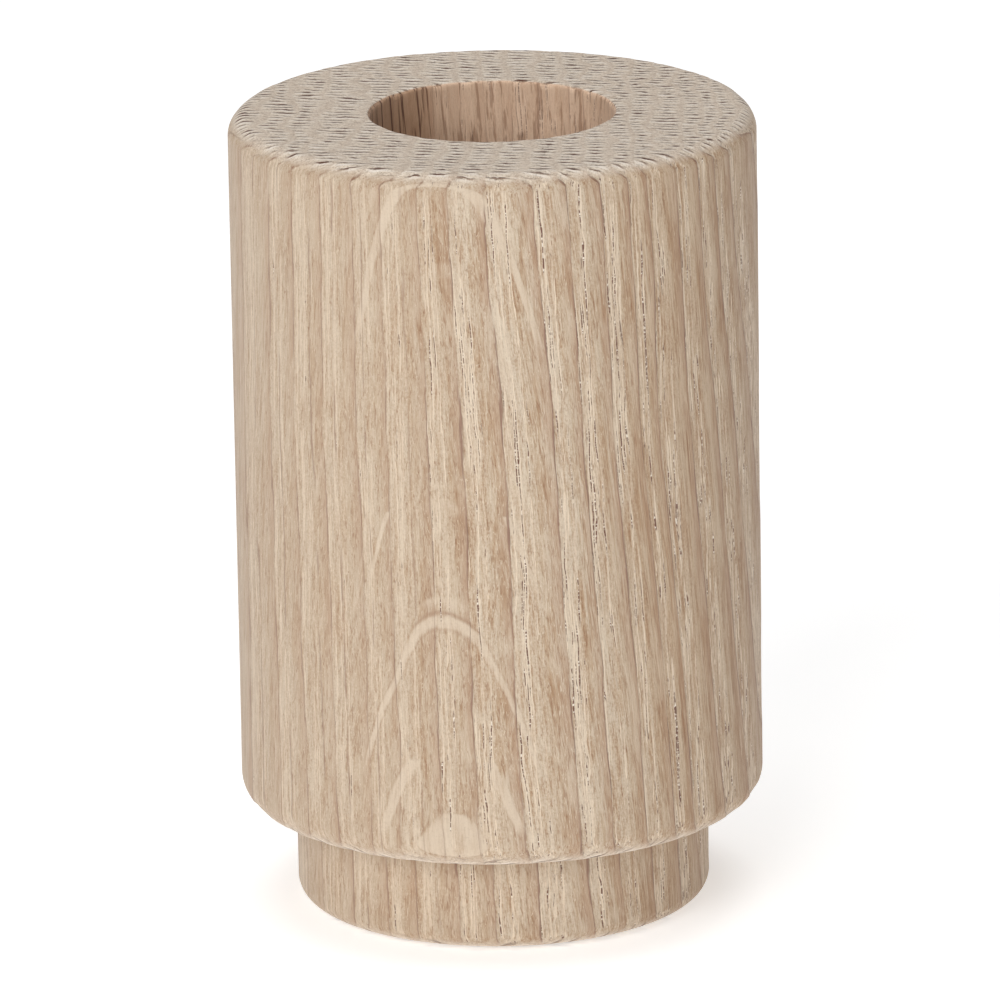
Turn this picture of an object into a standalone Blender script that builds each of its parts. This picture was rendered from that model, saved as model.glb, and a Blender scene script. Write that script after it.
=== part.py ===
"""Oak block candlestick: a turned oak body, the metal cup in its socket and the felt pad under its foot.

Run with: blender --background --python part.py
Units are metres and +Z is up. The stick stands on z = 0 and its axis is the Z axis.
"""

import math

import bpy

# Driving dimensions
HEIGHT = 0.0805
BODY_DIAMETER = 0.0520
FOOT_DIAMETER = 0.0411
FOOT_HEIGHT = 0.0103
SOCKET_DIAMETER = 0.0240
SOCKET_DEPTH = 0.0280
CUP_HEIGHT = 0.0190
CUP_WALL = 0.0005
PAD_DIAMETER = 0.0344
PAD_THICKNESS = 0.0015
PAD_PROUD = 0.0003
CLEARANCE = 0.0003

# Rounds and small cuts
TOP_EDGE_ROUND = 0.0019
BODY_BOTTOM_ROUND = 0.0030
STEP_FILLET = 0.0004
FOOT_BOTTOM_ROUND = 0.0020
SOCKET_RIM_ROUND = 0.0004
BIT_POINT_RADIUS = 0.0015
BIT_POINT_DEPTH = 0.0012
CUP_CORNER_ROUND = 0.0018
PAD_EDGE_ROUND = 0.0003

# How finely a turned shape is divided
TURN_STEPS = 96
ROUND_STEPS = 6

# Sizes that follow from the driving dimensions
BODY_RADIUS = BODY_DIAMETER / 2
FOOT_RADIUS = FOOT_DIAMETER / 2
SOCKET_RADIUS = SOCKET_DIAMETER / 2
SOCKET_FLOOR_Z = HEIGHT - SOCKET_DEPTH
CUP_RADIUS = SOCKET_RADIUS - CLEARANCE
CUP_BOTTOM_Z = SOCKET_FLOOR_Z + CLEARANCE
PAD_RADIUS = PAD_DIAMETER / 2
RECESS_RADIUS = PAD_RADIUS + CLEARANCE
RECESS_TOP_Z = PAD_THICKNESS + CLEARANCE


def clear_scene():
    """Remove every object of the scene that the script starts in."""
    for item in list(bpy.data.objects):
        bpy.data.objects.remove(item)


def make_collection(name):
    """A new collection in the scene."""
    collection = bpy.data.collections.new(name)
    bpy.context.scene.collection.children.link(collection)
    return collection


def make_material(name, colour, roughness, metallic=0.0):
    """A Principled material with one colour."""
    material = bpy.data.materials.new(name)
    material.use_nodes = True
    shader = material.node_tree.nodes["Principled BSDF"]
    shader.inputs["Base Color"].default_value = (*colour, 1.0)
    shader.inputs["Roughness"].default_value = roughness
    shader.inputs["Metallic"].default_value = metallic
    material.diffuse_color = (*colour, 1.0)
    return material


def arc(centre, radius, start, end):
    """Points of a round in the profile's plane, from one angle in degrees to another."""
    points = []
    for step in range(ROUND_STEPS + 1):
        angle = math.radians(start + (end - start) * step / ROUND_STEPS)
        points.append((centre[0] + radius * math.cos(angle), centre[1] + radius * math.sin(angle)))
    return points


def turned(name, profile, height, material, collection):
    """A solid turned about Z from (radius, z) points, standing at the given height."""
    mesh = bpy.data.meshes.new(name)
    edges = [(index, index + 1) for index in range(len(profile) - 1)]
    mesh.from_pydata([(radius, 0.0, z) for radius, z in profile], edges, [])
    item = bpy.data.objects.new(name, mesh)
    item.location = (0.0, 0.0, height)
    collection.objects.link(item)
    mesh.materials.append(material)
    screw = item.modifiers.new("turning", "SCREW")
    screw.axis = "Z"
    screw.steps = TURN_STEPS
    screw.render_steps = TURN_STEPS
    screw.use_merge_vertices = True
    screw.merge_threshold = 0.00002
    return item


def socket_profile():
    """The drilled socket, from the bit's centre point up the wall to the rounded rim."""
    points = [(0.0, SOCKET_FLOOR_Z - BIT_POINT_DEPTH), (BIT_POINT_RADIUS, SOCKET_FLOOR_Z)]
    points.append((SOCKET_RADIUS, SOCKET_FLOOR_Z))
    points += arc((SOCKET_RADIUS + SOCKET_RIM_ROUND, HEIGHT - SOCKET_RIM_ROUND), SOCKET_RIM_ROUND, 180, 90)
    return points


def outside_profile():
    """The outside of the block, from the top face's edge down to the step above the foot."""
    points = arc((BODY_RADIUS - TOP_EDGE_ROUND, HEIGHT - TOP_EDGE_ROUND), TOP_EDGE_ROUND, 90, 0)
    bottom_centre = (BODY_RADIUS - BODY_BOTTOM_ROUND, FOOT_HEIGHT + BODY_BOTTOM_ROUND)
    points += arc(bottom_centre, BODY_BOTTOM_ROUND, 0, -90)
    return points


def foot_profile():
    """The narrower foot and the shallow recess for its pad, down to the axis."""
    points = arc((FOOT_RADIUS + STEP_FILLET, FOOT_HEIGHT - STEP_FILLET), STEP_FILLET, 90, 180)
    edge_centre = (FOOT_RADIUS - FOOT_BOTTOM_ROUND, PAD_PROUD + FOOT_BOTTOM_ROUND)
    points += arc(edge_centre, FOOT_BOTTOM_ROUND, 0, -90)
    points += [(RECESS_RADIUS, PAD_PROUD), (RECESS_RADIUS, RECESS_TOP_Z), (0.0, RECESS_TOP_Z)]
    return points


def make_oak_body(collection):
    """The block and its foot, turned as one piece of oak."""
    oak = make_material("oak", (0.60, 0.45, 0.32), 0.62)
    profile = socket_profile() + outside_profile() + foot_profile()
    return turned("oak_body", profile, 0.0, oak, collection)


def make_candle_cup(collection):
    """The drawn metal cup that stands loose on the socket's floor and keeps the flame off the wood."""
    steel = make_material("steel", (0.62, 0.61, 0.58), 0.35, metallic=1.0)
    inner_radius = CUP_RADIUS - CUP_WALL
    inner_round = CUP_CORNER_ROUND - CUP_WALL
    profile = [(0.0, CUP_WALL)]
    profile += arc((inner_radius - inner_round, CUP_CORNER_ROUND), inner_round, -90, 0)
    profile += arc((CUP_RADIUS - CUP_WALL / 2, CUP_HEIGHT - CUP_WALL / 2), CUP_WALL / 2, 180, 0)
    profile += arc((CUP_RADIUS - CUP_CORNER_ROUND, CUP_CORNER_ROUND), CUP_CORNER_ROUND, 0, -90)
    profile.append((0.0, 0.0))
    return turned("candle_cup", profile, CUP_BOTTOM_Z, steel, collection)


def make_felt_pad(collection):
    """The felt disc in the foot's recess, standing a little proud of the wood."""
    felt = make_material("felt", (0.10, 0.085, 0.075), 0.95)
    edge_radius = PAD_RADIUS - PAD_EDGE_ROUND
    profile = [(0.0, PAD_THICKNESS)]
    profile += arc((edge_radius, PAD_THICKNESS - PAD_EDGE_ROUND), PAD_EDGE_ROUND, 90, 0)
    profile += arc((edge_radius, PAD_EDGE_ROUND), PAD_EDGE_ROUND, 0, -90)
    profile.append((0.0, 0.0))
    return turned("felt_pad", profile, 0.0, felt, collection)


def main():
    clear_scene()
    candlestick = make_collection("candlestick")
    make_oak_body(candlestick)
    make_candle_cup(candlestick)
    make_felt_pad(candlestick)


main()
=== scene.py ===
"""Looks of the oak candlestick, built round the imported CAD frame.

The wood is one solid pattern: every point of the block has a place across the growth rings, a place
round them and a place along the trunk, and the surface shows wherever it happens to cut them.
Lengths are millimetres in the shape and grain functions, and metres once a mesh is made.
"""

import math

import bpy
import numpy as np
from mathutils import Matrix, Vector


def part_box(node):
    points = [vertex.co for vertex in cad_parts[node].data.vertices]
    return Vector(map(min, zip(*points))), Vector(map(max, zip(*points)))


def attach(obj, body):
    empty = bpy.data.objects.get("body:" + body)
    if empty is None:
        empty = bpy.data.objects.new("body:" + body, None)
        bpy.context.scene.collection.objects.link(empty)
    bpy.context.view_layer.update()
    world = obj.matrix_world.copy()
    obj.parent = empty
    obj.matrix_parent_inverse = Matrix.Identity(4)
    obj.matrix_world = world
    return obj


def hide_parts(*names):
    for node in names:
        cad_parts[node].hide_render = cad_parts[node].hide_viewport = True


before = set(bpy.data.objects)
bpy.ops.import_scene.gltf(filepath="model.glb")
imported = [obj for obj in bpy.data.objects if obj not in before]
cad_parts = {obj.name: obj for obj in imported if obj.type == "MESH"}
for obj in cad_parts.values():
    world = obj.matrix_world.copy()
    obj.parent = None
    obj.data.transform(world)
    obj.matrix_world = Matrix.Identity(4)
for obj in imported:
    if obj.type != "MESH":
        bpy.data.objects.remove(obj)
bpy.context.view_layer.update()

MM = 0.001

# Sizes read from the frame, in millimetres
BODY_LOW, BODY_HIGH = (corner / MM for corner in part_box("oak_body"))
CUP_LOW, CUP_HIGH = (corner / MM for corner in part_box("candle_cup"))
PAD_LOW, PAD_HIGH = (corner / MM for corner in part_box("felt_pad"))
HEIGHT = BODY_HIGH.z
BODY_RADIUS = BODY_HIGH.x
CUP_RADIUS = CUP_HIGH.x
PAD_RADIUS = PAD_HIGH.x

# Turned shape of the block, in millimetres
GAP = 0.3
SOCKET_RADIUS = CUP_RADIUS + GAP
SOCKET_FLOOR = CUP_LOW.z - GAP
SOCKET_RIM_ROUND = 0.4
BIT_POINT_RADIUS = 1.5
BIT_POINT_DEPTH = 1.2
TOP_EDGE_ROUND = 1.9
BODY_BOTTOM_ROUND = 3.0
FOOT_RADIUS = 20.55
FOOT_HEIGHT = 10.3
STEP_FILLET = 0.4
FOOT_BOTTOM_ROUND = 2.0
CUP_WALL = 0.5
CUP_CORNER_ROUND = 1.8
PAD_EDGE_ROUND = 0.3

# How many steps each turned mesh has round the axis
BLOCK_STEPS = 640
SMALL_STEPS = 256

# The oak's grain, in millimetres and degrees
RING_START = -33.4
RING_WIDTHS = (
    3.2, 3.2, 3.2, 3.3, 2.7, 3.1, 3.5, 2.9, 3.9, 3.1, 3.4, 3.8, 2.3, 2.5, 2.3, 1.7, 2.8, 2.3, 1.7,
    1.6, 2.2, 2.6, 2.4, 2.7,
)
RING_LEAN = 0.035
RING_LEAN_GROWTH = 0.0014
RING_BEND = 3.2
EDGE_HOOK = 0.6
RAY_TURN = 12.0
RAY_SLOPE = 0.095

# Camera
CAMERA_DISTANCE = 1.104
CAMERA_ELEVATION = 16.35
CAMERA_ROLL = -0.9
CAMERA_AIM = Vector((0.00019, 0.0, 0.04062))
CAMERA_LENS = 400.7

# Where the lamps point
LAMP_AIM = Vector((0.0, 0.0, 0.04))

# Brightness of the surround above the horizon, and of the floor far from the lamps
SURROUND_TONE = 0.30
FAR_FLOOR_TONE = 0.695


# Shapes


def arc(centre, radius, start, end, step=0.2):
    """Points of a round, from one angle in degrees to another, about a step apart."""
    count = max(6, round(abs(math.radians(end - start)) * radius / step))
    angles = np.radians(np.linspace(start, end, count + 1))
    return [(centre[0] + radius * math.cos(a), centre[1] + radius * math.sin(a)) for a in angles]


def run(start, end, step):
    """Points of a straight stretch, without its last point."""
    length = math.dist(start, end)
    count = max(1, round(length / step))
    return [
        (start[0] + (end[0] - start[0]) * i / count, start[1] + (end[1] - start[1]) * i / count)
        for i in range(count)
    ]


def joined(corners):
    """One profile from lists of points, with straight stretches between them, each with its step."""
    points = []
    for stretch, step in corners:
        if points and math.dist(points[-1], stretch[0]) > 1e-6:
            points += run(points[-1], stretch[0], step)[1:]
        points += stretch if not points or math.dist(points[-1], stretch[0]) > 1e-6 else stretch[1:]
    return np.array(points)


def block_profile():
    """The block's outline, from the socket's floor over the top and down the outside to the recess."""
    rim = (SOCKET_RADIUS + SOCKET_RIM_ROUND, HEIGHT - SOCKET_RIM_ROUND)
    top = (BODY_RADIUS - TOP_EDGE_ROUND, HEIGHT - TOP_EDGE_ROUND)
    bottom = (BODY_RADIUS - BODY_BOTTOM_ROUND, FOOT_HEIGHT + BODY_BOTTOM_ROUND)
    step = (FOOT_RADIUS + STEP_FILLET, FOOT_HEIGHT - STEP_FILLET)
    sole = (FOOT_RADIUS - FOOT_BOTTOM_ROUND, BODY_LOW.z + FOOT_BOTTOM_ROUND)
    recess_radius = PAD_RADIUS + GAP
    recess_top = PAD_HIGH.z + GAP
    return joined(
        (
            ([(0.0, SOCKET_FLOOR - BIT_POINT_DEPTH)], 1.0),
            ([(BIT_POINT_RADIUS, SOCKET_FLOOR)], 0.5),
            ([(SOCKET_RADIUS, SOCKET_FLOOR)], 1.0),
            (arc(rim, SOCKET_RIM_ROUND, 180, 90, 0.1), 0.4),
            (arc(top, TOP_EDGE_ROUND, 90, 0, 0.15), 0.25),
            (arc(bottom, BODY_BOTTOM_ROUND, 0, -90), 0.5),
            (arc(step, STEP_FILLET, 90, 180, 0.1), 0.3),
            (arc(sole, FOOT_BOTTOM_ROUND, 0, -90), 0.4),
            ([(recess_radius, BODY_LOW.z)], 0.5),
            ([(recess_radius, recess_top)], 0.5),
            ([(0.0, recess_top)], 1.5),
        )
    )


def cup_profile():
    """The drawn cup's outline, from the inside of its floor over the rim to the underside."""
    inner = CUP_RADIUS - CUP_WALL
    inner_round = CUP_CORNER_ROUND - CUP_WALL
    floor = CUP_LOW.z + CUP_WALL
    half_wall = CUP_WALL / 2
    rim = (CUP_RADIUS - half_wall, CUP_HIGH.z - half_wall)
    corner = (CUP_RADIUS - CUP_CORNER_ROUND, CUP_LOW.z + CUP_CORNER_ROUND)
    return joined(
        (
            ([(0.0, floor)], 1.0),
            (arc((inner - inner_round, floor + inner_round), inner_round, -90, 0), 0.5),
            (arc(rim, half_wall, 180, 0, 0.06), 0.4),
            (arc(corner, CUP_CORNER_ROUND, 0, -90), 0.4),
            ([(0.0, CUP_LOW.z)], 1.0),
        )
    )


def pad_profile():
    """The felt disc's outline, from the middle of its top round its edge to its underside."""
    edge = PAD_RADIUS - PAD_EDGE_ROUND
    return joined(
        (
            ([(0.0, PAD_HIGH.z)], 0.5),
            (arc((edge, PAD_HIGH.z - PAD_EDGE_ROUND), PAD_EDGE_ROUND, 90, 0, 0.1), 0.4),
            (arc((edge, PAD_EDGE_ROUND), PAD_EDGE_ROUND, 0, -90, 0.1), 0.2),
            ([(0.0, PAD_LOW.z)], 0.4),
        )
    )


def turned_grid(profile, steps):
    """Places and outward normals of a profile turned about Z, as (rows, steps, 3) arrays."""
    along = np.gradient(profile, axis=0)
    along /= np.linalg.norm(along, axis=1, keepdims=True)
    angles = np.arange(steps) * 2 * math.pi / steps
    across, up = np.cos(angles), np.sin(angles)
    places = np.empty((len(profile), steps, 3))
    normals = np.empty_like(places)
    places[..., 0] = profile[:, :1] * across
    places[..., 1] = profile[:, :1] * up
    places[..., 2] = profile[:, 1:]
    normals[..., 0] = -along[:, 1:] * across
    normals[..., 1] = -along[:, 1:] * up
    normals[..., 2] = along[:, :1]
    return places, normals


def grid_mesh(name, places):
    """A closed mesh from turned places in millimetres. Its first and last rows are points on the axis."""
    rows, steps = places.shape[:2]
    inner = places[1:-1].reshape(-1, 3)
    verts = np.vstack((places[0, :1], inner, places[-1, :1])) * MM
    here = 1 + np.arange(steps)
    after = 1 + (np.arange(steps) + 1) % steps
    quad = np.stack((here, after, after + steps, here + steps), axis=1)
    quads = [quad + row * steps for row in range(rows - 3)]
    last = (rows - 3) * steps
    first_cap = np.stack((np.zeros(steps, int), after, here), axis=1)
    last_cap = np.stack((here + last, after + last, np.full(steps, len(verts) - 1)), axis=1)
    faces = first_cap.tolist() + np.vstack(quads).tolist() + last_cap.tolist()
    mesh = bpy.data.meshes.new(name)
    mesh.from_pydata(verts.tolist(), [], faces)
    mesh.update()
    mesh.shade_smooth()
    return mesh


def grid_values(values):
    """Values on a turned grid in the order of grid_mesh's points."""
    return np.concatenate((values[0, :1], values[1:-1].reshape(-1, *values.shape[2:]), values[-1, :1]))


def add_object(name, mesh):
    """An object of that mesh in the scene."""
    item = bpy.data.objects.new(name, mesh)
    bpy.context.scene.collection.objects.link(item)
    return item


# Numbers


def smoothstep(low, high, value):
    """0 below low, 1 above high and smooth between, on arrays."""
    share = np.clip((value - low) / (high - low), 0, 1)
    return share * share * (3 - 2 * share)


def lattice(cells, seed):
    """A repeatable number from -1 to 1 for each whole-numbered cell."""
    mixed = (cells[..., 0] * 73856093) ^ (cells[..., 1] * 19349663) ^ (cells[..., 2] * 83492791) ^ seed
    mixed = ((mixed ^ (mixed >> 13)) * 1274126177) & 0xFFFFFFFF
    mixed = (mixed ^ (mixed >> 16)) & 0xFFFF
    return mixed / 32767.5 - 1


def smooth_noise(places, size, seed):
    """Soft lumps about a size across, from -1 to 1, at each place. Size may differ along each axis."""
    scaled = places / np.asarray(size)
    cells = np.floor(scaled).astype(np.int64)
    share = scaled - cells
    share = share * share * (3 - 2 * share)
    total = 0
    for corner in np.ndindex(2, 2, 2):
        weight = np.prod(np.where(np.array(corner) == 1, share, 1 - share), axis=-1)
        total = total + weight * lattice(cells + np.array(corner), seed)
    return total


# Grain


def grain_places(places):
    """For each place in the block: across the rings, round them and along the trunk, in millimetres."""
    x, y, z = places[..., 0], places[..., 1], places[..., 2]
    wander = 0.45 * smooth_noise(places, (14, 14, 26), 11) + 0.12 * smooth_noise(places, (5, 5, 11), 12)
    sway = 0.35 * smooth_noise(places, (16, 16, 30), 13) + 0.10 * smooth_noise(places, (5, 5, 13), 14)
    front = np.clip((10 - y) / 36, 0, None) ** 2
    bend = RING_BEND * front * (1 - 0.9 * smoothstep(-6, 18, x))
    lean = RING_LEAN + RING_LEAN_GROWTH * x
    across = x - (HEIGHT - z) * lean + bend + wander
    turn = math.radians(RAY_TURN)
    around = x * math.sin(turn) + y * math.cos(turn) + RAY_SLOPE * z + sway
    return np.stack((across, around, z), axis=-1)


def ring_count(across):
    """How many rings lie before a place. The whole part is the year, the rest how far through it."""
    edges = RING_START + np.concatenate(([0], np.cumsum(RING_WIDTHS)))
    return np.interp(across, edges, np.arange(len(edges)))


def early_wood(year):
    """1 in the soft porous wood at the start of each ring, and 0 in the hard wood that ends it."""
    season = year % 1
    return smoothstep(0.0, 0.08, season) * (1 - smoothstep(0.3, 0.6, season))


def wood_relief(places, normals, year):
    """How far the sanded surface stands out from the turned one, in millimetres: soft wood wears more."""
    soft = early_wood(year)
    sides = 1 - np.abs(normals[..., 2])
    edge = np.clip(4 * np.abs(normals[..., 2]) * sides, 0, 1)
    right = smoothstep(-12, 20, places[..., 0])
    depth = 0.012 + 0.030 * right * sides + 0.08 * edge
    lumps = 0.015 * smooth_noise(places, (3, 3, 9), 21)
    return -depth * soft + lumps


def add_value(mesh, name, kind, values):
    """Stores a number or a triple at each point of the mesh, for the materials to read."""
    attribute = mesh.attributes.new(name, kind, "POINT")
    field = "vector" if kind == "FLOAT_VECTOR" else "value"
    attribute.data.foreach_set(field, np.ascontiguousarray(values, dtype=np.float32).ravel())


# Materials


def srgb(red, green, blue):
    """A colour given as it looks on a screen, 0 to 255, in the linear numbers that shaders use."""
    shares = [c / 255 for c in (red, green, blue)]
    linear = [c / 12.92 if c <= 0.04045 else ((c + 0.055) / 1.055) ** 2.4 for c in shares]
    return (*linear, 1.0)


class Graph:
    """A short way to write the nodes of a material or a world. Each method returns what its nodes give."""

    def __init__(self, owner, shader="Principled BSDF"):
        self.owner = owner
        owner.use_nodes = True
        self.nodes = owner.node_tree.nodes
        self.links = owner.node_tree.links
        self.shader = self.nodes[shader]

    def feed(self, socket, value):
        """Gives a socket its value: a number, a colour or what another node gives."""
        if isinstance(value, bpy.types.NodeSocket):
            self.links.new(value, socket)
        else:
            socket.default_value = value

    def attribute(self, name, output="Fac"):
        node = self.nodes.new("ShaderNodeAttribute")
        node.attribute_name = name
        return node.outputs[output]

    def maths(self, operation, first, second=0.0, clamp=False):
        node = self.nodes.new("ShaderNodeMath")
        node.operation = operation
        node.use_clamp = clamp
        self.feed(node.inputs[0], first)
        self.feed(node.inputs[1], second)
        return node.outputs[0]

    def plus(self, first, second):
        return self.maths("ADD", first, second)

    def minus(self, first, second):
        return self.maths("SUBTRACT", first, second)

    def times(self, product, *factors):
        for factor in factors:
            product = self.maths("MULTIPLY", product, factor)
        return product

    def larger(self, first, second):
        return self.maths("MAXIMUM", first, second)

    def apart(self, first, second):
        """How far one value is from the other."""
        return self.maths("ABSOLUTE", self.minus(first, second))

    def between(self, value, low, high, to_low=0.0, to_high=1.0):
        """A smooth step: to_low where the value is at low or past it, and to_high at high."""
        node = self.nodes.new("ShaderNodeMapRange")
        node.interpolation_type = "SMOOTHSTEP"
        for socket, number in zip(node.inputs[:5], (value, low, high, to_low, to_high)):
            self.feed(socket, number)
        return node.outputs[0]

    def split(self, vector):
        node = self.nodes.new("ShaderNodeSeparateXYZ")
        self.feed(node.inputs[0], vector)
        return node.outputs

    def vector(self, x, y, z):
        node = self.nodes.new("ShaderNodeCombineXYZ")
        for socket, value in zip(node.inputs, (x, y, z)):
            self.feed(socket, value)
        return node.outputs[0]

    def stretched(self, vector, factors):
        node = self.nodes.new("ShaderNodeVectorMath")
        node.operation = "MULTIPLY"
        self.feed(node.inputs[0], vector)
        node.inputs[1].default_value = factors
        return node.outputs[0]

    def noise(self, place, factors=None, scale=1.0, detail=2.0, roughness=0.5, distortion=0.0):
        """Soft lumps from 0 to 1. The factors say how many there are to a unit along each axis."""
        node = self.nodes.new("ShaderNodeTexNoise")
        self.feed(node.inputs["Vector"], self.stretched(place, factors) if factors else place)
        node.inputs["Scale"].default_value = scale
        node.inputs["Detail"].default_value = detail
        node.inputs["Roughness"].default_value = roughness
        node.inputs["Distortion"].default_value = distortion
        return node.outputs["Fac"]

    def cells(self, place):
        """Flat cells about a unit wide: the distance to the nearest one's middle, and its own colour."""
        node = self.nodes.new("ShaderNodeTexVoronoi")
        node.voronoi_dimensions = "2D"
        node.inputs["Scale"].default_value = 1.0
        self.feed(node.inputs["Vector"], place)
        return node.outputs["Distance"], node.outputs["Color"]

    def lot(self, place):
        """A number from 0 to 1, the same wherever the place is the same."""
        node = self.nodes.new("ShaderNodeTexWhiteNoise")
        self.feed(node.inputs["Vector"], place)
        return node.outputs["Value"]

    def ramp(self, value, stops):
        node = self.nodes.new("ShaderNodeValToRGB")
        elements = node.color_ramp.elements
        for _ in range(len(stops) - 2):
            elements.new(0.5)
        for element, (place, colour) in zip(elements, stops):
            element.position = place
            element.color = colour
        self.feed(node.inputs[0], value)
        return node.outputs["Color"]

    def mix(self, share, first, second, blend="MIX"):
        node = self.nodes.new("ShaderNodeMix")
        node.data_type = "RGBA"
        node.blend_type = blend
        self.feed(node.inputs["Factor"], share)
        self.feed(node.inputs[6], first)
        self.feed(node.inputs[7], second)
        return node.outputs[2]

    def tinted(self, share, colour, tint):
        """The colour multiplied by a tint, as far as the share says."""
        return self.mix(share, colour, self.mix(1.0, colour, tint, "MULTIPLY"))

    def bump(self, height, distance):
        node = self.nodes.new("ShaderNodeBump")
        node.inputs["Distance"].default_value = distance
        self.feed(node.inputs["Height"], height)
        return node.outputs[0]


# Sheets of ray cells. For each, in millimetres: the height where it meets the front of the block, half
# its thickness, and from how far to how far below that height it shows. Last, how dark the painted
# shade on its rim is.
RAY_SHEETS = (
    (81.3, 0.13, 0.0, 19.0, 0.2),
    (53.2, 0.08, 6.8, 14.5, 0.2),
    (47.2, 0.08, -1.0, 0.9, 0.0),
    (37.4, 0.10, -1.2, 1.0, 0.0),
    (35.7, 0.08, -1.5, 16.0, 0.9),
    (24.4, 0.13, 3.0, 11.5, 0.3),
    (7.6, 0.74, -8.5, 6.0, 0.3),
)

# How many pores stand side by side in a millimetre, across the rings and round them
PORE_SPACING = (5.0, 2.0, 0.0)

# How far the painted highlight beside a pore lies to its right, in millimetres
GLINT_ASIDE = 0.11

# How many ranks of torn pores the end grain has in a millimetre
RANKS = 0.95

# Bare oak, as it looks in soft light: the side
OAK_PALE = srgb(201, 183, 161)
OAK_CREAM = srgb(213, 196, 173)
# Painted highlight beside the open pores
OAK_GLINT = srgb(224, 206, 183)
OAK_MIDDLE = srgb(197, 178, 155)
OAK_CALM = srgb(196, 177, 155)
OAK_LATE = srgb(188, 165, 142)
OAK_BEFORE_LINE = srgb(183, 155, 131)
OAK_LINE = srgb(144, 112, 95)
OAK_RAY = srgb(211, 193, 171)
# Painted shade round the edge of each ray sheet
OAK_RAY_EDGE_SHADE = srgb(160, 128, 104)
OAK_PORE = srgb(104, 56, 44)
OAK_FLECK = srgb(240, 230, 216)
OAK_GRIT = srgb(150, 125, 106)

# The end grain and the rounded edge round it. Its base tones are partly painted light: lighter than the
# side, as lit from above
OAK_TOP = srgb(237, 222, 203)
OAK_TOP_LATE = srgb(226, 209, 190)
OAK_TOP_GRIT = srgb(176, 154, 134)
OAK_TOP_SPARK = srgb(250, 238, 224)
OAK_BRUSHED = srgb(172, 154, 137)
OAK_BRUSHED_PALE = srgb(238, 229, 218)
# Dark of the torn strokes on the end grain, partly painted shade in the torn grain
OAK_STROKE = srgb(98, 58, 38)
# Painted highlight beside each torn stroke
OAK_STROKE_HIGHLIGHT = srgb(250, 240, 228)
OAK_HOOK = srgb(134, 96, 70)

# The socket wall: lightened as painted light and warmer in tone, with painted shade on its left wall and
# brown streaks
BORE_PAINTED_LIGHT_AND_WARMTH = (1.36, 1.22, 1.18, 1.0)
BORE_PAINTED_SHADE = srgb(226, 215, 206)
BORE_STREAK = srgb(140, 100, 78)
# Streak colour inside the painted shade
BORE_STREAK_DARK = srgb(104, 72, 56)


class Grain:
    """What each point of the block tells the shader about the wood there."""

    def __init__(self, g):
        self.place = g.attribute("grain", "Vector")
        self.across, self.around, self.along = g.split(self.place)
        self.end = g.attribute("end_grain")
        self.side = g.minus(1.0, self.end)
        self.edge = g.attribute("edge")
        self.inside = g.attribute("inside")
        self.calm = g.between(self.across, 4.0, -14.0)
        ragged = g.noise(self.place, (1.5, 1.5, 0.09), detail=4, roughness=0.55)
        year = g.plus(g.attribute("year"), g.times(g.minus(ragged, 0.5), 0.20))
        self.season = g.maths("FRACT", year)
        self.year = g.maths("FLOOR", year)
        self.broad = g.noise(self.place, (0.45, 0.45, 0.03), detail=2, roughness=0.6)
        self.lumpy = g.noise(self.place, (0.9, 0.9, 0.13), detail=3, roughness=0.65)
        self.middle = g.noise(self.place, (1.9, 1.9, 0.06), detail=3, roughness=0.6)
        self.fine = g.noise(self.place, (5.5, 5.5, 0.20), detail=4, roughness=0.7)
        self.hair = g.noise(self.place, (8.0, 8.0, 0.7), detail=3, roughness=0.7)
        self.thread = g.noise(self.place, (2.6, 2.6, 0.03), detail=2, roughness=0.6)
        self.pale_thread = g.noise(self.place, (3.72, 3.72, 0.042), detail=2, roughness=0.6)
        self.speckle = g.noise(self.place, (5.0, 5.0, 3.5), detail=2, roughness=0.6)
        self.grit = g.noise(self.place, scale=5.0, detail=3, roughness=0.7)


def year_colour(g, wood):
    """One year's wood, pale where it starts and brown where it ends. The calm left side changes less."""
    stops = (
        (0.00, OAK_MIDDLE),
        (0.07, OAK_PALE),
        (0.34, OAK_PALE),
        (0.66, OAK_MIDDLE),
        (0.94, OAK_LATE),
    )
    return g.mix(g.times(wood.calm, 0.6), g.ramp(wood.season, stops), OAK_CALM)


def streaked(g, wood, colour):
    """That colour with streaks along the trunk, from broad to fine, and thin dark and pale threads."""
    most = g.minus(1.0, g.times(wood.calm, 0.38))
    early = g.between(wood.season, 0.80, 0.45, 0.3, 1.0)
    speckle = g.plus(0.5, g.times(g.minus(wood.speckle, 0.5), early))
    for streak, low, high, tint in (
        (wood.broad, 0.45, 0.70, srgb(248, 242, 236)),
        (wood.lumpy, 0.50, 0.66, srgb(240, 230, 221)),
        (wood.middle, 0.48, 0.66, srgb(239, 229, 219)),
        (wood.fine, 0.46, 0.66, srgb(236, 226, 217)),
        (wood.hair, 0.50, 0.70, srgb(230, 220, 212)),
        (speckle, 0.50, 0.66, srgb(238, 232, 227)),
    ):
        colour = g.tinted(g.times(g.between(streak, low, high), most), colour, tint)
    dark_thread = g.between(g.apart(wood.thread, 0.5), 0.026, 0.0, 0.0, 0.9)
    colour = g.tinted(dark_thread, colour, srgb(220, 203, 193))
    for share in (
        g.between(g.apart(wood.pale_thread, 0.47), 0.022, 0.0, 0.0, 0.7),
        g.between(speckle, 0.46, 0.32, 0.0, 0.35),
        g.between(wood.fine, 0.46, 0.28, 0.0, 0.35),
        g.times(g.between(wood.lumpy, 0.47, 0.32, 0.0, 0.4), most),
    ):
        colour = g.mix(share, colour, OAK_CREAM)
    return colour


def toned(g, wood, colour):
    """That colour a little lighter in the middle of the front and browner to its right."""
    middle = g.times(g.between(wood.across, -3.0, 2.0), g.between(wood.across, 11.0, 6.0))
    colour = g.tinted(middle, colour, (1.06, 1.09, 1.12, 1.0))
    right = g.between(wood.across, 9.0, 15.0)
    return g.tinted(right, colour, (0.97, 0.93, 0.89, 1.0))


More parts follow.
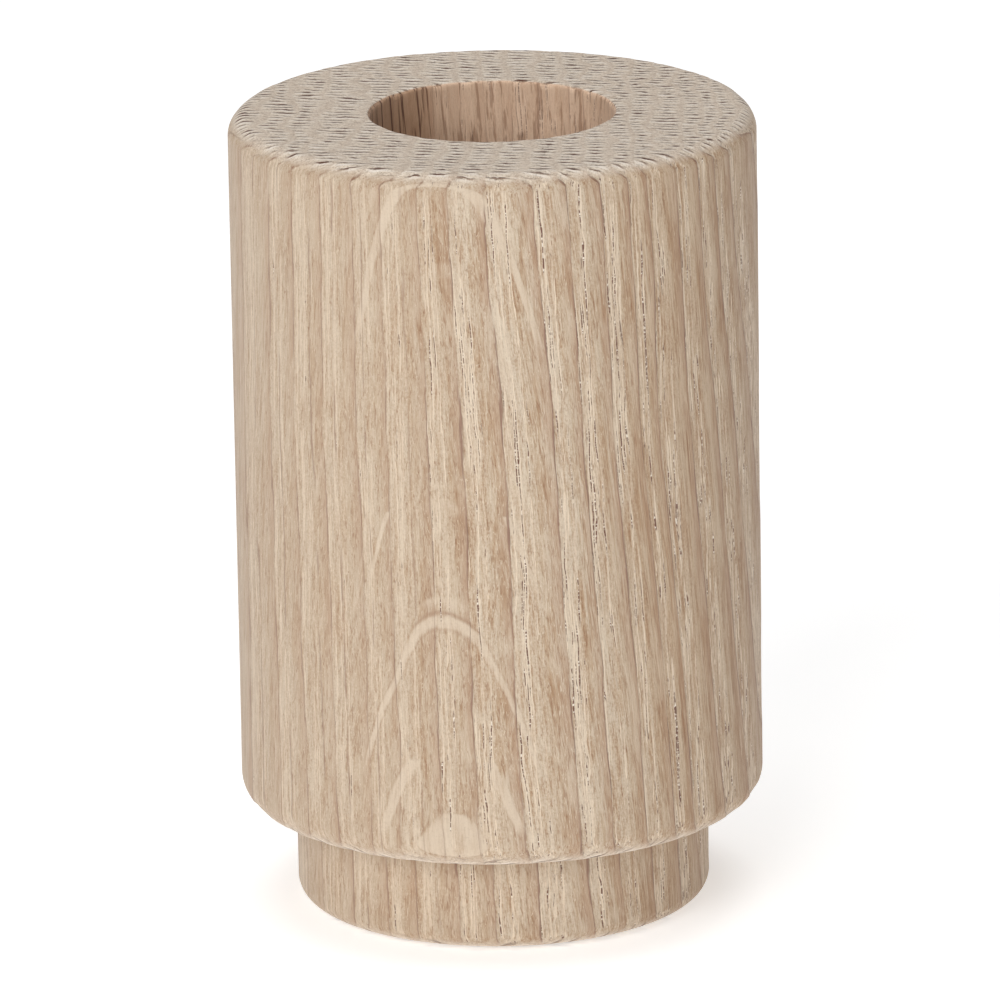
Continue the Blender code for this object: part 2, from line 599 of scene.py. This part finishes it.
def second_lines(g, wood, yearly):
    """A fainter line part of the way through a ring, on the calm side where the ring's own line is weak."""
    lot = g.lot(g.vector(wood.year, 5.0, 0.0))
    part_way = g.plus(g.times(lot, 0.45), 0.25)
    line = g.between(g.apart(wood.season, part_way), 0.035, 0.005, 0.0, 0.6)
    return g.times(line, wood.calm, g.between(yearly, 0.56, 0.44))


def ring_lines(g, wood):
    """The thin dark line where each ring starts, and the browning of the wood just before it."""
    yearly = g.noise(g.vector(wood.year, 0.0, g.times(wood.along, 0.07)), scale=1.7, detail=4)
    width = g.plus(g.times(wood.edge, 0.05), 0.035)
    line = g.between(g.maths("PINGPONG", wood.season, 0.5), width, g.times(width, 0.2))
    strength = g.between(yearly, 0.42, 0.60, 0.15, 1.0)
    strength = g.times(strength, g.between(wood.calm, 0.0, 1.0, 1.0, 0.7))
    at_edge = g.times(wood.edge, g.between(wood.middle, 0.40, 0.60))
    line = g.times(line, g.plus(strength, at_edge))
    line = g.larger(line, second_lines(g, wood, yearly))
    line = g.maths("MULTIPLY", line, wood.side, clamp=True)
    browning = g.between(wood.season, 0.76, 1.0)
    return line, g.times(browning, g.between(yearly, 0.40, 0.62, 0.1, 0.6))


def open_pores(g, wood):
    """Rows of open pores in the early wood, a painted highlight beside them and the pale dust in some of
    them.

    The rows are flat cells in a plane across the trunk, which bends a little along it.
    """
    bend = g.noise(wood.place, (0.5, 0.5, 0.10), detail=4, roughness=0.6)
    depth_bend = g.noise(wood.place, (0.5, 0.5, 0.045), detail=2)
    across = g.plus(wood.across, bend)
    depth = g.plus(g.minus(wood.around, g.times(wood.along, 0.075)), depth_bend)
    distance, drawn = g.cells(g.stretched(g.vector(across, depth, 0.0), PORE_SPACING))
    aside = g.vector(g.minus(across, GLINT_ASIDE), depth, 0.0)
    aside_distance, aside_drawn = g.cells(g.stretched(aside, PORE_SPACING))
    lot, second_lot = g.split(drawn)[:2]
    aside_lot = g.split(aside_drawn)[0]

    band = g.times(g.between(wood.season, 0.0, 0.05), g.between(wood.season, 0.62, 0.40))
    band = g.between(band, 0.3, 0.7)
    chosen = g.times(g.between(lot, 0.12, 0.16), band)
    size = g.plus(g.times(second_lot, 0.17), 0.15)
    pore = g.times(g.between(distance, size, g.times(size, 0.5)), chosen)
    # Painted highlight round each chosen pore, and a second one just to its right.
    halo = g.times(g.between(distance, g.times(size, 2.0), size), chosen, 0.4)
    glint = g.times(g.between(aside_distance, 0.36, 0.18), g.between(aside_lot, 0.12, 0.16), band)

    stretch = g.vector(g.times(lot, 50.0), wood.across, g.times(wood.along, 0.15))
    gaps = g.noise(stretch, detail=4, roughness=0.75)
    closed = g.plus(g.times(wood.calm, 0.16), 0.47)
    pore = g.times(pore, g.between(gaps, closed, g.plus(closed, 0.05)))
    halo = g.larger(halo, g.times(glint, g.between(gaps, 0.40, 0.46)))
    beads = g.noise(wood.place, (2.6, 2.6, 4.6), detail=2)
    dust = g.times(pore, g.between(beads, 0.43, 0.37), wood.side)
    pore = g.times(pore, g.between(beads, 0.38, 0.54, 0.2, 1.0))
    return pore, g.times(halo, wood.side), dust


def ray_sheets(g, wood):
    """Pale smooth ray cells that the front face cuts almost flat, and a thin rim of painted shade round
    each.
    """
    ripple = g.noise(wood.place, (0.16, 0.1, 0.09), detail=3)
    step = g.lot(g.vector(wood.year, 3.0, 0.0))
    layer = g.plus(wood.around, g.times(g.minus(ripple, 0.5), 0.35))
    layer = g.plus(layer, g.times(step, 0.05))
    rays, ray_edge_shades = 0.0, 0.0
    for height, thickness, first, last, darkness in RAY_SHEETS:
        top = height - first
        bottom = height - last
        depth = g.apart(layer, RAY_SLOPE * height - BODY_RADIUS)
        shown = g.times(
            g.between(wood.along, bottom, bottom + 2.5), g.between(wood.along, top + 0.3, top)
        )
        sheet = g.between(depth, thickness + 0.02, thickness - 0.05)
        # Painted shade in a thin band just outside the sheet's edge.
        rim = g.between(depth, thickness + 0.06, thickness)
        dark = g.between(wood.along, height - 1.0, height, 0.35 * darkness, darkness)
        rays = g.larger(rays, g.times(sheet, shown))
        ray_edge_shades = g.larger(ray_edge_shades, g.times(rim, dark, shown))
    thin = g.noise(wood.place, (0.05, 2.4, 0.07), detail=2, roughness=0.4)
    rays = g.larger(rays, g.between(thin, 0.66, 0.72, 0.0, 0.4))
    rays = g.times(rays, wood.side)
    return rays, g.maths("SUBTRACT", ray_edge_shades, rays, clamp=True)


def end_strokes(g, wood):
    """Torn pores on the end grain: a rank of short dark strokes across every ring, sunk into the surface and
    partly darkened with painted shade, and a painted highlight beside each.
    """
    jitter = g.noise(wood.place, (0.35, 0.5, 0.1), detail=3)
    rank = g.plus(g.times(wood.around, RANKS), g.times(jitter, 1.5))
    rank = g.plus(rank, g.times(wood.year, 0.43))
    number = g.maths("FLOOR", rank)
    lot = g.lot(g.vector(wood.year, number, 0.0))
    second_lot = g.lot(g.vector(wood.year, number, 7.0))
    off_middle = g.minus(g.maths("FRACT", rank), 0.5)
    season = g.plus(g.times(lot, 0.16), 0.30)
    half_length = g.plus(g.times(second_lot, 0.26), 0.32)
    reach = g.maths("DIVIDE", g.minus(wood.season, season), half_length)
    taper = g.maths("SUBTRACT", 1.0, g.times(reach, reach), clamp=True)
    ruffle = g.noise(wood.place, (1.3, 2.6, 0.13), detail=3, roughness=0.6)
    width = g.times(taper, g.between(ruffle, 0.34, 0.62, 0.07, 0.27))
    stroke = g.between(g.maths("ABSOLUTE", off_middle), width, g.times(width, 0.4))
    stroke = g.times(stroke, taper, g.between(lot, 0.0, 0.6, 0.55, 1.0))
    stroke = g.times(stroke, g.between(wood.edge, 0.2, 0.8, 1.0, 0.25), wood.end)
    # Painted highlight on the near side of each stroke.
    light = g.between(g.apart(off_middle, -0.30), 0.20, 0.08)
    return stroke, g.times(light, taper, wood.end)


def side_colour(g, wood):
    """The colour where the block is cut along the trunk."""
    colour = toned(g, wood, streaked(g, wood, year_colour(g, wood)))
    # Painted highlight beside the pores, weaker on the calm side.
    halo = g.times(wood.halo, g.between(wood.calm, 0.0, 1.0, 0.95, 0.6))
    ray = g.times(wood.ray, g.between(wood.middle, 0.66, 0.38, 0.45, 0.9))
    line_colour = g.mix(wood.edge, OAK_LINE, OAK_HOOK)
    for share, mark in (
        (wood.browning, OAK_BEFORE_LINE),
        (halo, OAK_GLINT),
        (ray, OAK_RAY),
        # Painted shade round the ray sheets.
        (g.times(wood.rim, 0.7), OAK_RAY_EDGE_SHADE),
        (g.times(wood.line, 0.9), line_colour),
        (g.times(wood.pore, wood.side, 0.9), OAK_PORE),
        (wood.dust, OAK_FLECK),
    ):
        colour = g.mix(share, colour, mark)
    return colour


def top_colour(g, wood):
    """The colour of the rough end grain, made lighter than the side as painted light from above, with a
    painted highlight beside its torn pores but without the pores.
    """
    # End-grain tones, partly the wood's own and partly raised lighter as painted light from above.
    colour = g.mix(g.between(wood.season, 0.6, 0.9), OAK_TOP, OAK_TOP_LATE)
    brushed = g.noise(wood.place, (0.9, 4.5, 0.1), detail=3, roughness=0.6)
    for share, mark in (
        (g.between(wood.grit, 0.46, 0.68, 0.0, 0.8), OAK_TOP_GRIT),
        (g.between(wood.grit, 0.46, 0.30, 0.0, 0.7), OAK_TOP_SPARK),
        (g.between(brushed, 0.50, 0.68, 0.0, 0.7), OAK_BRUSHED),
        (g.between(brushed, 0.46, 0.30, 0.0, 0.7), OAK_BRUSHED_PALE),
        (g.times(wood.light, 0.9), OAK_STROKE_HIGHLIGHT),
    ):
        colour = g.mix(share, colour, mark)
    return colour


def bore_colour(g, wood, colour):
    """That colour on the socket wall: lightened as painted light and warmer in tone, darkened on the left
    wall as painted shade, and streaked with brown.
    """
    # Painted light: the whole socket wall made lighter, and warmer in tone.
    colour = g.tinted(1.0, g.mix(0.55, colour, OAK_MIDDLE), BORE_PAINTED_LIGHT_AND_WARMTH)
    # Painted shade on the socket's left wall.
    painted_shade = g.between(wood.across, -4.5, -8.5)
    colour = g.tinted(painted_shade, colour, BORE_PAINTED_SHADE)
    # More and darker streaks inside the painted shade.
    least = g.minus(0.54, g.times(painted_shade, 0.05))
    streak = g.between(wood.middle, least, 0.62, 0.0, 0.5)
    streak = g.times(streak, g.plus(painted_shade, 1.0))
    return g.mix(streak, colour, g.mix(painted_shade, BORE_STREAK, BORE_STREAK_DARK))


def oak_height(g, wood):
    """How high the fine surface stands, in millimetres: pores, lines and strokes are sunk into it."""
    fibres = g.times(wood.fine, g.minus(1.0, g.times(wood.ray, 0.8)), 0.06)
    grit = g.times(wood.grit, g.plus(g.times(wood.end, 0.07), 0.03))
    sunk = g.plus(g.times(wood.pore, 0.08), g.times(wood.line, 0.06))
    sunk = g.plus(sunk, g.times(wood.stroke, 0.20))
    return g.minus(g.plus(fibres, grit), sunk)


def oak_material():
    """Sanded bare oak: rings, open pores, pale rays and rough end grain, all from the grain places."""
    g = Graph(bpy.data.materials.new("oak_wood"))
    wood = Grain(g)
    wood.line, wood.browning = ring_lines(g, wood)
    wood.pore, wood.halo, wood.dust = open_pores(g, wood)
    wood.ray, wood.rim = ray_sheets(g, wood)
    # Strokes partly darkened with painted shade, and the painted highlight beside them.
    wood.stroke, wood.light = end_strokes(g, wood)

    colour = g.mix(g.times(wood.end, 0.9), side_colour(g, wood), top_colour(g, wood))
    # Torn strokes on the end grain, their darkness partly painted shade; brown hooks where they reach the
    # edge.
    colour = g.mix(wood.stroke, colour, g.mix(wood.edge, OAK_STROKE, OAK_HOOK))
    colour = g.mix(g.between(wood.grit, 0.5, 0.75, 0.0, 0.2), colour, OAK_GRIT)
    # The socket wall, with its painted light and painted shade.
    colour = g.mix(wood.inside, colour, bore_colour(g, wood, colour))
    rough = g.minus(g.between(wood.fine, 0.3, 0.7, 0.62, 0.74), g.times(wood.ray, 0.12))
    g.feed(g.shader.inputs["Base Color"], colour)
    g.feed(g.shader.inputs["Roughness"], rough)
    g.feed(g.shader.inputs["Specular IOR Level"], 0.3)
    g.feed(g.shader.inputs["Sheen Weight"], 0.10)
    g.feed(g.shader.inputs["Sheen Roughness"], 0.45)
    g.feed(g.shader.inputs["Normal"], g.bump(oak_height(g, wood), MM))
    return g.owner


def steel_material():
    """Thin drawn steel with faint lines down its wall from the die."""
    g = Graph(bpy.data.materials.new("drawn_steel"))
    place = g.nodes.new("ShaderNodeTexCoord").outputs["Object"]
    x, y, z = g.split(place)
    around = g.times(g.maths("ARCTAN2", y, x), 40.0)
    drawn = g.noise(g.vector(around, g.times(z, 60.0), 0.0), detail=4, roughness=0.7)
    cloud = g.noise(place, scale=180.0, detail=3)
    colour = g.mix(g.between(cloud, 0.35, 0.7), (0.60, 0.59, 0.56, 1.0), (0.50, 0.49, 0.47, 1.0))
    g.feed(g.shader.inputs["Base Color"], colour)
    g.feed(g.shader.inputs["Metallic"], 1.0)
    g.feed(g.shader.inputs["Roughness"], g.between(drawn, 0.3, 0.7, 0.30, 0.48))
    g.feed(g.shader.inputs["Normal"], g.bump(drawn, 0.00003))
    return g.owner


def felt_material():
    """Pressed wool felt: fibres of slightly different browns."""
    g = Graph(bpy.data.materials.new("wool_felt"))
    place = g.nodes.new("ShaderNodeTexCoord").outputs["Object"]
    fibre = g.noise(place, (900.0, 900.0, 2500.0), detail=4, roughness=0.7, distortion=1.2)
    g.feed(g.shader.inputs["Base Color"], g.mix(fibre, srgb(62, 54, 49), srgb(104, 94, 86)))
    g.feed(g.shader.inputs["Roughness"], g.between(fibre, 0.2, 0.8, 0.85, 1.0))
    g.feed(g.shader.inputs["Sheen Weight"], 0.4)
    g.feed(g.shader.inputs["Normal"], g.bump(fibre, 0.0003))
    return g.owner


# Pieces


def make_block():
    """The turned oak block with the wood's relief worked into its surface."""
    places, normals = turned_grid(block_profile(), BLOCK_STEPS)
    height = places[..., 2]
    facing_up = normals[..., 2]
    radius = np.hypot(places[..., 0], places[..., 1])
    edge_start = BODY_RADIUS - 1.2 * TOP_EDGE_ROUND
    above_floor = height > SOCKET_FLOOR - 2
    rim = (radius > edge_start) & (height > HEIGHT - 1.2 * TOP_EDGE_ROUND)
    inner = (radius < edge_start) & above_floor

    grain = grain_places(places)
    over_edge = np.where(rim, smoothstep(0.25, 0.97, facing_up), inner)
    uneven = 1 + 0.6 * smooth_noise(places, (2.5, 2.5, 40), 22)
    hook = EDGE_HOOK * np.tanh(places[..., 0] / 8) * uneven
    year = ring_count(grain[..., 0]) + hook * over_edge

    relief = wood_relief(places, normals, year)
    relief *= smoothstep(0.5, 3.0, radius) * smoothstep(PAD_HIGH.z + GAP, PAD_HIGH.z + 2, height)
    mesh = grid_mesh("oak_block", places + normals * relief[..., None])
    for name, kind, values in (
        ("grain", "FLOAT_VECTOR", grain),
        ("year", "FLOAT", year),
        ("end_grain", "FLOAT", smoothstep(0.45, 0.95, np.abs(facing_up))),
        ("edge", "FLOAT", np.where(rim, 4 * over_edge * (1 - over_edge), 0)),
        ("inside", "FLOAT", (radius < SOCKET_RADIUS + 0.2) & above_floor),
    ):
        add_value(mesh, name, kind, grid_values(values))
    mesh.materials.append(oak_material())
    block = add_object("oak_block", mesh)
    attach(block, "holder")
    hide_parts("oak_body")


def make_cup():
    """The drawn cup, with the slight ripple that its die leaves in the wall."""
    places, normals = turned_grid(cup_profile(), SMALL_STEPS)
    ripple = 0.02 * smooth_noise(places, (4, 4, 30), 31)
    places = places + normals * ripple[..., None]
    mesh = grid_mesh("steel_cup", places)
    mesh.materials.append(steel_material())
    cup = add_object("steel_cup", mesh)
    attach(cup, "cup")
    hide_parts("candle_cup")


def make_pad():
    """The felt disc, with a soft uneven surface."""
    places, normals = turned_grid(pad_profile(), SMALL_STEPS)
    fuzz = -0.05 + 0.05 * smooth_noise(places, 0.8, 41)
    fuzz = fuzz * smoothstep(0.0, 0.4, places[..., 2] + 0.2)
    mesh = grid_mesh("felt_disc", places + normals * fuzz[..., None])
    mesh.materials.append(felt_material())
    pad = add_object("felt_disc", mesh)
    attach(pad, "holder")
    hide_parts("felt_pad")


# Studio


def make_floor():
    """A plain pale floor, wide enough for every view."""
    bpy.ops.mesh.primitive_plane_add(size=60.0)
    floor = bpy.context.object
    floor.name = "studio_floor"
    g = Graph(bpy.data.materials.new("floor_paper"))
    place = g.nodes.new("ShaderNodeTexCoord").outputs["Object"]
    tone = g.noise(place, scale=3.0, detail=2)
    g.feed(g.shader.inputs["Base Color"], g.mix(tone, (0.93, 0.93, 0.93, 1.0), (0.95, 0.95, 0.95, 1.0)))
    g.shader.inputs["Emission Color"].default_value = (1.0, 1.0, 1.0, 1.0)
    g.shader.inputs["Emission Strength"].default_value = 0.40
    g.shader.inputs["Roughness"].default_value = 0.9
    g.shader.inputs["Specular IOR Level"].default_value = 0.1
    floor.data.materials.append(g.owner)


def add_lamp(name, place, size, watts):
    """A square soft box that faces the object."""
    lamp = bpy.data.lights.new(name, "AREA")
    lamp.size = size
    lamp.energy = watts
    item = bpy.data.objects.new(name, lamp)
    item.location = place
    item.rotation_euler = (LAMP_AIM - Vector(place)).to_track_quat("-Z", "Y").to_euler()
    bpy.context.scene.collection.objects.link(item)


def make_lights():
    """Soft light from the front left, and more from straight above."""
    add_lamp("key_light", (-0.62, -1.42, 0.8), 1.0, 14.9)
    add_lamp("overhead_light", (0.0, 0.1, 1.7), 1.2, 10.5)


def make_surround():
    """A pale surround. Below the horizon, past the drawn floor, it has the far floor's tone."""
    world = bpy.data.worlds.new("surround")
    bpy.context.scene.world = world
    g = Graph(world, "Background")
    height = g.split(g.nodes.new("ShaderNodeTexCoord").outputs["Generated"])[2]
    g.feed(g.shader.inputs["Color"], (1.0, 1.0, 1.0, 1.0))
    g.feed(g.shader.inputs["Strength"], g.between(height, -0.002, 0.0, FAR_FLOOR_TONE, SURROUND_TONE))


def make_camera():
    """A long lens on the front, a little above the candlestick and rolled slightly."""
    camera = bpy.data.cameras.new("camera")
    camera.lens = CAMERA_LENS
    camera.sensor_width = 36.0
    camera.clip_start = 0.05
    camera.clip_end = 50.0
    item = bpy.data.objects.new("camera", camera)
    tilt = math.radians(CAMERA_ELEVATION)
    item.location = CAMERA_AIM + CAMERA_DISTANCE * Vector((0.0, -math.cos(tilt), math.sin(tilt)))
    facing = (CAMERA_AIM - item.location).to_track_quat("-Z", "Y").to_matrix()
    item.rotation_euler = (facing @ Matrix.Rotation(math.radians(CAMERA_ROLL), 3, "Z")).to_euler()
    bpy.context.scene.collection.objects.link(item)
    bpy.context.scene.camera = item


make_block()
make_cup()
make_pad()
make_floor()
make_lights()
make_surround()
make_camera()
bpy.context.scene.view_settings.view_transform = "Standard"
